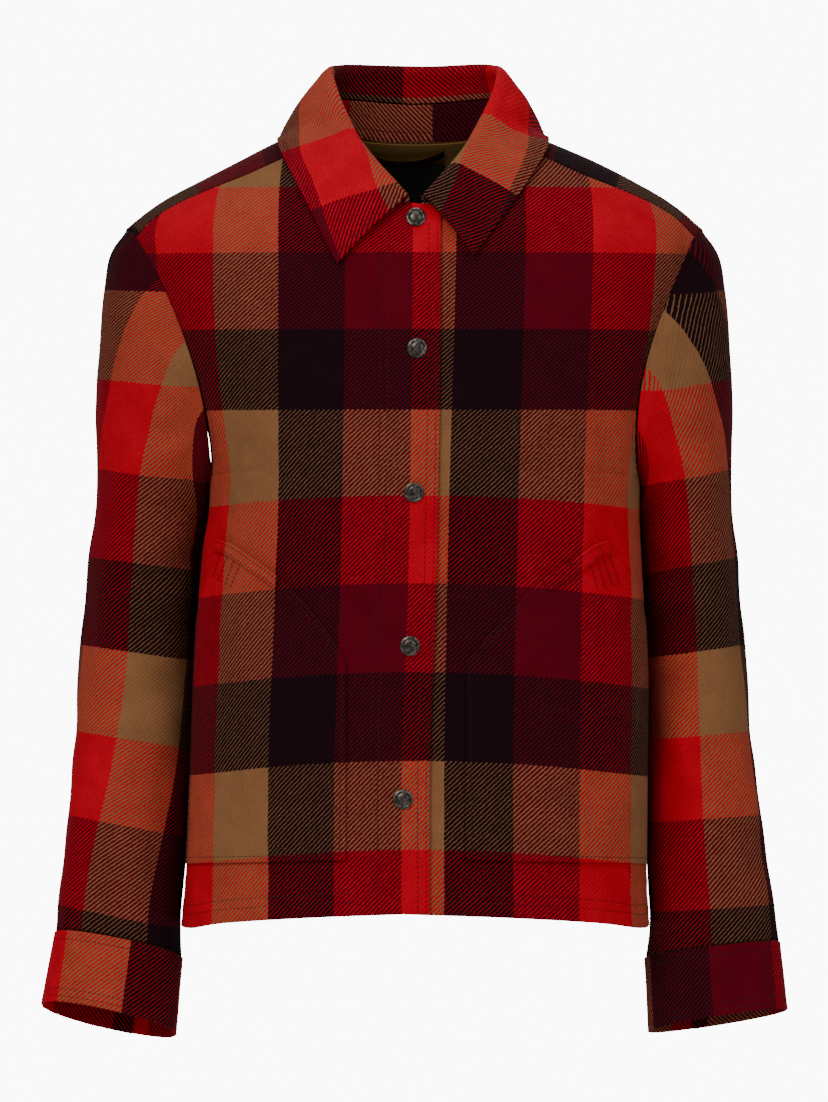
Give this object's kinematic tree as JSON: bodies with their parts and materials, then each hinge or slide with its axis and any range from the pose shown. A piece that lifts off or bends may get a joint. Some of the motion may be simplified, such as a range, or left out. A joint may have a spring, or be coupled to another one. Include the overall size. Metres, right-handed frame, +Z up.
{
  "type": "checked wool jacket with a snap front",
  "caption": "Lined wool-twill jacket in a red, tan, black and wine block check, with a fold-down collar, a snap front, patch pockets and banded cuffs.",
  "frame": {"origin": "midway between the shoulders at the height of the neck, where the wearer's shoulders hold the jacket", "axes": "+Z up along the body, front towards -Y, the wearer's right towards -X"},
  "size_m": [0.5974, 0.2372, 0.7814],
  "materials": {
    "wool_check": "napped wool twill, woven block check in red, tan, black and wine",
    "lining_cloth": "smooth lining, old gold",
    "label_cloth": "woven black label, left bare",
    "snap_metal": "antique gunmetal plate"
  },
  "bodies": {
    "root": {"front_right": "wool_check", "front_left": "wool_check", "back": "wool_check", "sleeve_right": "wool_check", "cuff_right": "wool_check", "pocket_right": "wool_check", "pocket_band_right": "wool_check", "sleeve_left": "wool_check", "cuff_left": "wool_check", "pocket_left": "wool_check", "pocket_band_left": "wool_check", "collar_stand": "wool_check", "collar_leaf": "wool_check", "snap_1": "snap_metal", "snap_2": "snap_metal", "snap_3": "snap_metal", "snap_4": "snap_metal", "snap_5": "snap_metal", "back_lining": "lining_cloth", "neck_label": "label_cloth", "hanger_loop": "wool_check"}
  },
  "joints": []
}
